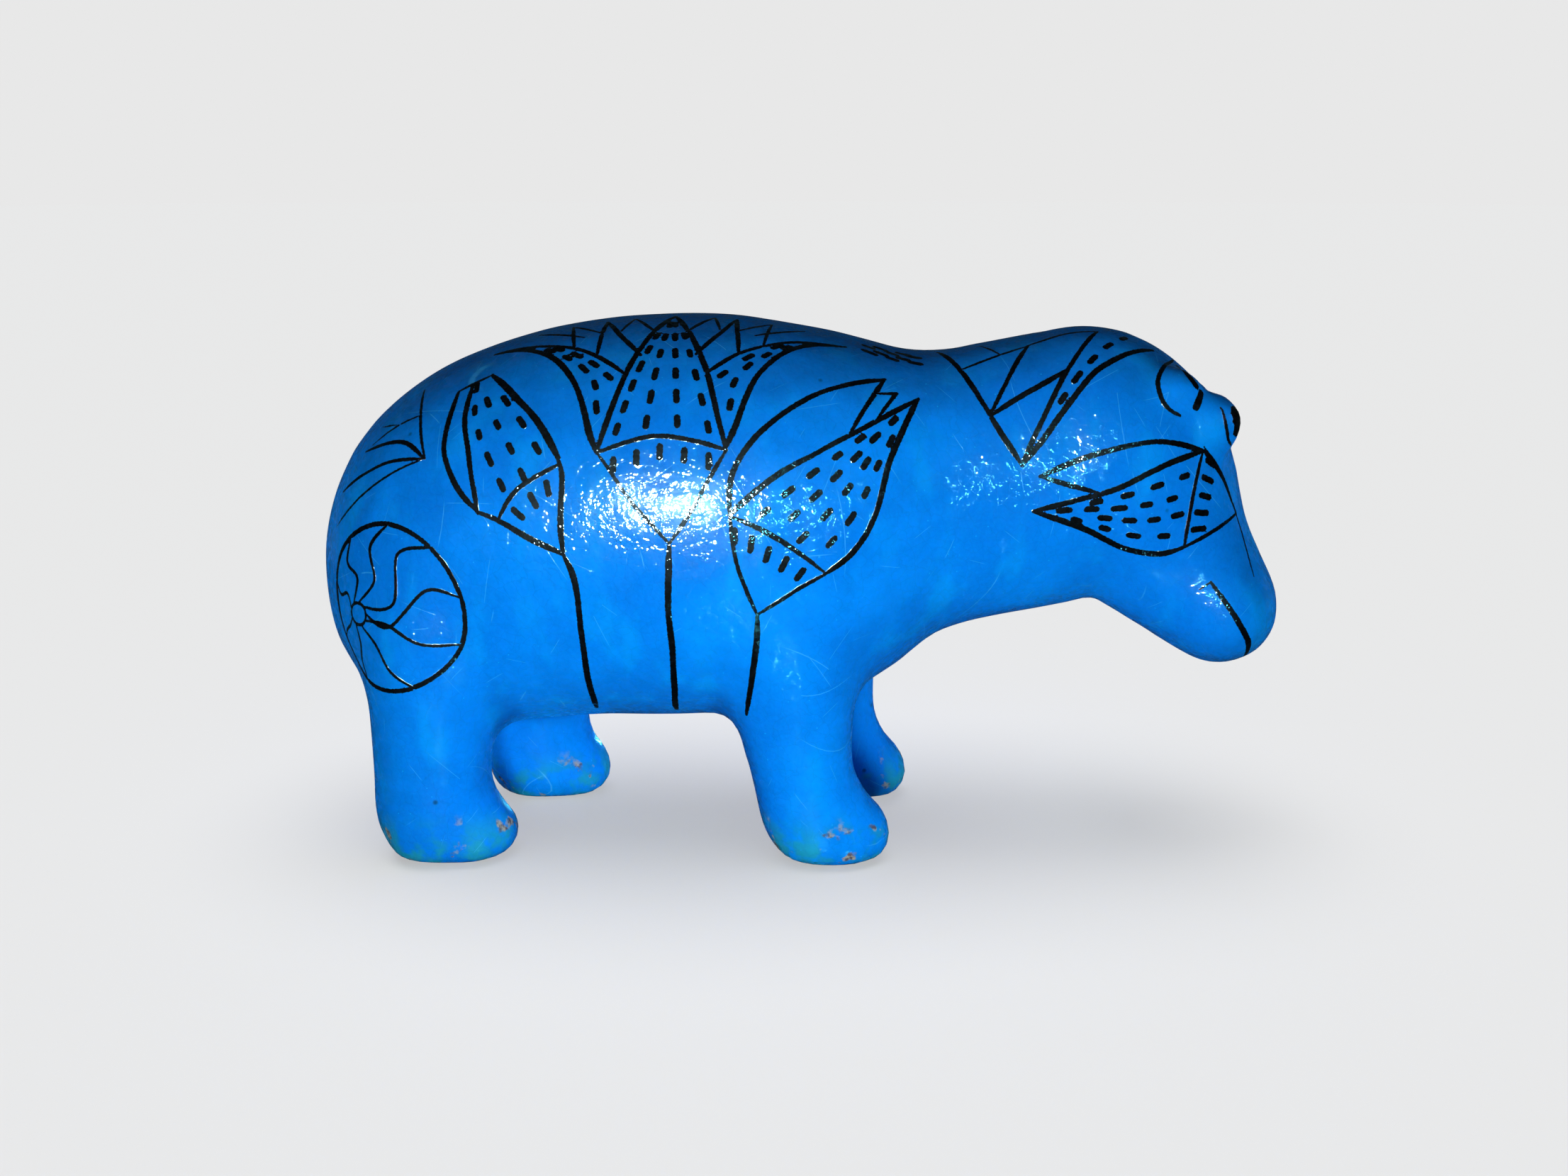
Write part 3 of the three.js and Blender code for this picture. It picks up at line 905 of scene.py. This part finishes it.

# %% [markdown]
# ## The glaze
#
# The blue is copper in a clear alkaline glaze over white quartz paste. It is deep where it pooled, a
# little pale where it ran thin, freckled with iron, green and worn through low on the feet, and covered in
# hair scratches and a fine crackle. Painted shade darkens it wherever the surface faces up, and the green on
# the feet is kept pale so that it is partly a painted highlight there. A picture wrapped round the figure
# would need seams and would smear at the ears, so all of it is nodes on the object's coordinates.
#
# The shine is that of old glass: sharp, but scuffed in specks of a millimetre or two. Rougher gloss all
# over would turn it to satin. So the clear coat stays sharp and its weight comes and goes with a fine
# noise, while what is even all over, such as the roughness of that coat, stands on the shader's own
# sockets.

# %% Small helpers for a material
class Mix:
    """Builds a material's nodes with few words. Sockets and plain numbers go in alike."""

    def __init__(self, name):
        self.material = bpy.data.materials.new(name)
        self.material.use_nodes = True
        self.tree = self.material.node_tree
        self.tree.nodes.clear()
        spot = add(self.tree, "ShaderNodeTexCoord").outputs
        self.place = self.vector("SCALE", spot["Object"], Scale=1 / MM)
        self.up, self.facing_up = self.part(self.place, 2), self.part(spot["Normal"], 2)

    def vector(self, operation, a, b=None, **inputs):
        wires = {0: a, **inputs} if b is None else {0: a, 1: b, **inputs}
        node = add(self.tree, "ShaderNodeVectorMath", wires, operation=operation)
        return node.outputs["Value" if operation in ("LENGTH", "DOT_PRODUCT") else "Vector"]

    def part(self, vector, n):
        return add(self.tree, "ShaderNodeSeparateXYZ", {0: vector}).outputs[n]

    def math(self, operation, a, b=0.0):
        return calc(self.tree, operation, a, b).outputs[0]

    def times(self, a, b):
        return self.math("MULTIPLY", a, b)

    def total(self, *terms):
        """The sum of terms, each given with its weight."""
        result = self.times(*terms[0])
        for term, weight in terms[1:]:
            result = self.math("ADD", result, self.times(term, weight))
        return result

    def noise(self, wide, detail=2.0, place=None, **inputs):
        wires = {"Vector": place or self.place, "Scale": 1 / wide, "Detail": detail, **inputs}
        return add(self.tree, "ShaderNodeTexNoise", wires).outputs["Fac"]

    def cells(self, apart, place=None, **settings):
        wires = {"Vector": place or self.place, "Scale": 1 / apart}
        return add(self.tree, "ShaderNodeTexVoronoi", wires, **settings).outputs

    def ramp(self, value, start, stop, low=0.0, high=1.0):
        wires = {0: value, 1: start, 2: stop, 3: low, 4: high}
        return add(self.tree, "ShaderNodeMapRange", wires, interpolation_type="SMOOTHSTEP").outputs[0]

    def blend(self, share, a, b):
        """Colour a with colour b over it, by that share."""
        a, b = (c if isinstance(c, bpy.types.NodeSocket) else (*c, 1) for c in (a, b))
        return add(self.tree, "ShaderNodeMix", {0: share, 6: a, 7: b}, data_type="RGBA").outputs[2]

    def attribute(self, name):
        return add(self.tree, "ShaderNodeAttribute", attribute_name=name).outputs["Fac"]


print("a ramp, a blend and a sum are one word each")

# %% Scratches, crackle and spots
def scratches(mix, apart, long, wide, share, seed):
    """Hair scratches: each cell of a Voronoi pattern holds a piece of a thin slice with a tilt of its own."""
    moved = mix.vector("ADD", mix.place, (seed, seed * 1.7, -seed))
    cell = mix.cells(apart, moved)
    offset = mix.vector("SUBTRACT", moved, cell["Position"])
    tilt = mix.vector("NORMALIZE", mix.vector("SUBTRACT", cell["Color"], (0.5, 0.5, 0.5)))
    away = mix.math("ABSOLUTE", mix.vector("DOT_PRODUCT", offset, tilt))
    run = mix.ramp(mix.vector("LENGTH", offset), long * 0.3, long * 0.5, 1.0, 0.0)
    kept = mix.ramp(mix.part(cell["Color"], 0), 1 - share, 1.01 - share)
    return mix.times(mix.times(mix.ramp(away, wide * 0.3, wide, 1.0, 0.0), run), kept)


def crackle(mix, apart, wide):
    """The net of fine cracks in the glaze."""
    bend = add(mix.tree, "ShaderNodeTexNoise", {"Vector": mix.place, "Scale": 0.5}).outputs["Color"]
    bent = mix.vector("ADD", mix.place, mix.vector("SCALE", bend, Scale=1.2))
    edge = mix.cells(apart, bent, feature="DISTANCE_TO_EDGE")["Distance"]
    return mix.ramp(edge, 0.0, wide / apart, 1.0, 0.0)


def spots(mix, apart, core, rim, strength, channel, share):
    """Small round spots, in a share of the cells of a Voronoi pattern."""
    cell = mix.cells(apart)
    kept = mix.ramp(mix.part(cell["Color"], channel), 1 - share, 1.02 - share)
    return mix.times(mix.ramp(cell["Distance"], core, rim, strength, 0.0), kept)


print("hair scratches are 0.07 to 0.09 mm wide")

# %% The blue, the worn places and the ink
def blue_of(mix, cracks, hairs):
    """The blue, as thin coats over each other, each with a share that varies from place to place."""
    run_down = mix.noise(8, 3, place=mix.vector("MULTIPLY", mix.place, (1.0, 1.0, 0.4)))
    # Painted shade: the blue is darker the more the surface faces up, broken up a little by a noise.
    painted_top_shade = mix.math("ADD", mix.facing_up, mix.ramp(mix.noise(9, 3), 0.3, 0.7, -0.10, 0.10))
    # Greener glaze low on the feet, made pale enough to be partly a painted highlight on the toes.
    low = mix.times(mix.ramp(mix.up, 4, 14, 0.80, 0.0), mix.ramp(mix.noise(6, 3), 0.42, 0.60))
    coats = [
        (mix.ramp(mix.noise(28, 2), 0.35, 0.65), (0.0008, 0.262, 0.980)),  # cloudy
        (mix.ramp(mix.noise(5, 4), 0.35, 0.75, 0.0, 0.22), (0.0008, 0.150, 0.640)),  # deep patches
        (mix.ramp(mix.noise(0.7, 2), 0.3, 0.7, 0.0, 0.12), (0.0020, 0.360, 1.0)),  # pale grain
        (mix.ramp(run_down, 0.52, 0.72, 0.0, 0.45), (0.0012, 0.360, 1.0)),  # thin where it ran down
        (mix.ramp(mix.attribute("hollow"), 0.15, 0.9, 0.0, 0.65), (0.0004, 0.060, 0.350)),  # pooled
        (mix.ramp(painted_top_shade, 0.40, 1.0, 0.0, 0.26), (0.0012, 0.045, 0.160)),  # painted shade where the surface faces up
        (low, (0.014, 0.350, 0.470)),  # greener glaze at the feet, made pale as a painted highlight there too
        (spots(mix, 9, 0.02, 0.08, 0.8, 1, 0.4), (0.001, 0.050, 0.160)),  # freckles of iron
        (spots(mix, 1.9, 0.04, 0.10, 0.7, 2, 0.3), (0.015, 0.480, 1.0)),  # pinholes
        (mix.times(cracks, 0.14), (0.002, 0.080, 0.400)),
        (mix.times(hairs, 0.5), (0.060, 0.520, 1.0)),
    ]
    blue = (0.0006, 0.205, 0.840)
    for share, colour in coats:
        blue = mix.blend(share, blue, colour)
    return blue


def worn_places(mix):
    """Bare patches of the paste, only low on the feet."""
    low = mix.times(mix.ramp(mix.up, 8, 13, 1.0, 0.0), mix.ramp(mix.up, 1.0, 2.5))
    return mix.times(low, mix.ramp(mix.noise(5.5, 4), 0.59, 0.66, 0.0, 0.9))


def ink_of(mix):
    """Where the brush went, with an edge that frays a little."""
    frayed = mix.math("ADD", mix.attribute("ink"), mix.ramp(mix.noise(0.5, 2), 0.3, 0.7, -0.05, 0.05))
    return mix.ramp(frayed, -0.06, 0.06, 1.0, 0.0)


print("the paste shows up to 13 mm over the ground")

# %% The whole glaze
def glaze():
    mix = Mix("faience_glaze")
    cracks, worn, inked = crackle(mix, 2.6, 0.10), worn_places(mix), ink_of(mix)
    hairs = mix.math("MAXIMUM", scratches(mix, 11, 11, 0.08, 0.5, 3), scratches(mix, 6, 5, 0.07, 0.45, 11))
    hairs = mix.math("MAXIMUM", hairs, scratches(mix, 18, 20, 0.09, 0.5, 27))
    black = mix.blend(mix.ramp(mix.noise(1.4, 3), 0.4, 0.8), (0.0006, 0.0008, 0.0014), (0.004, 0.006, 0.010))
    bare = mix.blend(mix.ramp(mix.noise(1.2, 3), 0.4, 0.6), (0.10, 0.065, 0.030), (0.42, 0.38, 0.25))
    colour = mix.blend(worn, mix.blend(inked, blue_of(mix, cracks, hairs), black), bare)
    dull = mix.math("ADD", mix.ramp(mix.noise(3.5, 3), 0.3, 0.8, 0.24, 0.34), mix.times(inked, 0.16))
    dull = mix.math("MAXIMUM", dull, mix.times(worn, 0.75))

    waves = mix.noise(9, 1, place=mix.vector("MULTIPLY", mix.place, (1.0, 1.0, 0.6)))
    dents = (waves, 0.55), (mix.noise(3.0, 2), 0.16)
    skin = mix.total(*dents, (cracks, -0.006), (hairs, -0.010), (worn, -0.05))
    grain = mix.total((skin, 1.0), (mix.noise(1.6, 2), 0.34), (mix.noise(0.6, 1), 0.05), (inked, 0.06))
    scuffed = mix.noise(1.5, 4, Roughness=0.65)
    shader = add(mix.tree, "ShaderNodeBsdfPrincipled", {
        "Base Color": colour, "Roughness": dull, "IOR": 1.5, "Specular IOR Level": 0.02,
        "Normal": add(mix.tree, "ShaderNodeBump", {"Height": skin, "Distance": MM}),
        "Coat Weight": mix.ramp(scuffed, 0.45, 0.52, 0.10, 0.85), "Coat Roughness": 0.05,
        "Coat Normal": add(mix.tree, "ShaderNodeBump", {"Height": grain, "Distance": MM}),
    })
    add(mix.tree, "ShaderNodeOutputMaterial", {"Surface": shader})
    return mix.material


blue_glaze = glaze()
print(len(blue_glaze.node_tree.nodes), "nodes in the glaze")

# %% Put the glaze and the ink on the skin
skin_source = with_tree(as_object("skin_source", skin_mesh), stores_ink, {
    "Brushwork": brushwork, "Material": blue_glaze,
})
hippo = as_object("hippopotamus", evaluated(skin_source, "hippopotamus"))
bpy.data.objects.remove(skin_source)
bpy.data.objects.remove(brushwork)
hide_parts("hippo")
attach(hippo, "root")
print("the painted skin has", len(hippo.data.polygons), "triangles")

# %% [markdown]
# ## Floor and light
#
# The picture has a plain pale ground and a small light close to the lens: one speckled patch of white on
# the flank, small glints on the head and the feet, and a blue that goes dark towards the upper outline
# and stays bright below, where the ground lights it. So a soft lamp beside the camera lights the clay,
# and small cool lamps give the shine alone, each set where its glint shows. Weak lamps light the sides
# that the camera doesn't see.
#
# The ground doesn't show in the glaze and the sky hardly does, because a pale room mirrored in it would
# veil the blue. The ground glows a little, so that the shadow on it stays faint.

# %% Lay the floor
GREY = 0.807  # the ground's brightness, as light
FLOOR_RADIUS = 6.0  # metres
FLOOR_LIT = 0.34  # how much of that comes from a lamp, and so can fall in shadow
FLOOR_TONE = 0.25  # the share of light that the floor gives back, low so that it takes little blue


def floor_material():
    material = bpy.data.materials.new("pale_ground")
    material.use_nodes = True
    for key, value in (
        ("Base Color", (*[FLOOR_TONE] * 3, 1)), ("Roughness", 1.0), ("Specular IOR Level", 0.0),
        ("Emission Color", (1, 1, 1, 1)), ("Emission Strength", GREY - FLOOR_LIT),
    ):
        material.node_tree.nodes["Principled BSDF"].inputs[key].default_value = value
    return material


disc = bmesh.new()
bmesh.ops.create_circle(disc, cap_ends=True, segments=96, radius=FLOOR_RADIUS)
floor = as_object("floor", bpy.data.meshes.new("floor"))
disc.to_mesh(floor.data)
disc.free()
floor.data.materials.append(floor_material())
floor.visible_glossy = False
floor.visible_diffuse = False
print("a floor", 2 * FLOOR_RADIUS, "m across")

# %% Set the lamps
def only_for(name, obj):
    """A collection that holds what a lamp may light."""
    lit = bpy.data.collections.new(name)
    lit.objects.link(obj)
    return lit


def lamp(name, kind, place, energy, lit, aim=(0, 0, 55), **settings):
    light = bpy.data.objects.new(name, bpy.data.lights.new(name, kind))
    for key, value in settings.items():
        setattr(light.data, key, value)
    light.data.energy = energy
    light.location = Vector(place) * MM
    light.rotation_mode = "QUATERNION"
    light.rotation_quaternion = (Vector(aim) * MM - light.location).to_track_quat("-Z", "Y")
    bpy.context.scene.collection.objects.link(light)
    light.light_linking.receiver_collection = lit
    return light


COOL = (0.55, 0.90, 1.0)  # a weak shine on the glaze reads as a paler blue, and only a strong one as white
PALE = (0.10, 0.75, 1.0)  # the small glints have a wide soft edge, which may add no red at all to the blue
WIDE_SUN, HALF_SUN = math.radians(60), math.radians(50)  # how wide the two soft suns stand in the sky
for_figure, for_floor = only_for("lit_figure", hippo), only_for("lit_floor", floor)
for name, kind, place, energy, aim, settings in (
    ("flash", "AREA", (0, -330, 30), 1.06, (-5, 0, 55), {"size": 0.08}),
    ("far_side", "AREA", (10, 340, 15), 1.2, (0, 0, 55), {"size": 0.06}),
    ("far_rear", "AREA", (-330, 190, 50), 0.8, (-60, 0, 60), {"size": 0.10}),
    ("far_nose", "AREA", (350, 170, 50), 0.8, (60, 0, 70), {"size": 0.10}),
    ("from_behind", "SUN", (-250, 500, 300), 0.20, (0, 0, 55), {"angle": HALF_SUN}),
    ("from_above", "SUN", (0, 0, 400), 0.32, (0, 0, 55), {"angle": WIDE_SUN, "color": (0.7, 0.95, 1.0)}),
):
    lamp(name, kind, place, energy, for_figure, aim, **settings).visible_glossy = False
for name, place, energy, size, colour, aim in (
    ("flash_shine", (-50, -340, 138), 17.0, 0.066, COOL, (-20, 0, 60)),
    ("shine_beside", (84, -340, 108), 0.60, 0.03, PALE, (0, 0, 70)),
    ("shine_neck", (118, -340, 258), 0.05, 0.01, PALE, (40, 0, 85)),
    ("shine_eye", (265, -340, 215), 0.04, 0.01, PALE, (70, 0, 92)),
    ("shine_low", (49, -340, -240), 0.20, 0.018, PALE, (40, 0, 40)),
    ("far_shine", (10, 340, -5), 0.50, 0.03, PALE, (0, 0, 55)),
):
    shine = lamp(name, "AREA", place, energy, for_figure, aim, size=size, color=colour)
    shine.visible_diffuse = False
    shine.data.use_shadow = place[2] > 0  # a lamp under the ground has to shine through it
over_floor = FLOOR_LIT * math.pi / FLOOR_TONE
lamp("over_floor", "SUN", (0, 0, 400), over_floor, for_floor, (0, 0, 0), angle=WIDE_SUN)

# %% Paint the sky
def sky():
    """A grey backdrop for the camera, a dim light from below on the clay, a dim cool room in the glaze."""
    world = bpy.data.worlds.new("sky")
    world.use_nodes = True
    tree = world.node_tree
    tree.nodes.clear()
    ray = add(tree, "ShaderNodeLightPath").outputs
    spot = add(tree, "ShaderNodeTexCoord").outputs
    way = add(tree, "ShaderNodeSeparateXYZ", {0: spot["Generated"]}).outputs
    behind = add(tree, "ShaderNodeMapRange", {0: way[1], 1: 0.0, 2: 1.0, 3: 0.002, 4: 0.045})
    below = add(tree, "ShaderNodeMapRange", {0: way[2], 1: -1.0, 2: 0.1, 3: 0.15, 4: 0.02})
    for_glaze, for_clay, for_eye = (
        add(tree, "ShaderNodeBackground", {"Color": colour, "Strength": strength})
        for colour, strength in (
            ((0.40, 0.80, 1.0, 1), behind), ((0.25, 0.85, 1.0, 1), below), ((GREY, GREY, GREY, 1), 1.0)
        )
    )
    lit = add(tree, "ShaderNodeMixShader", {0: ray["Is Glossy Ray"], 1: for_clay, 2: for_glaze})
    seen = add(tree, "ShaderNodeMixShader", {0: ray["Is Camera Ray"], 1: lit, 2: for_eye})
    add(tree, "ShaderNodeOutputWorld", {"Surface": seen})
    return world


scene = bpy.context.scene
scene.world = sky()
scene.view_settings.view_transform = "Standard"
scene.view_settings.look = "None"
print(len(scene.world.node_tree.nodes), "nodes in the sky")
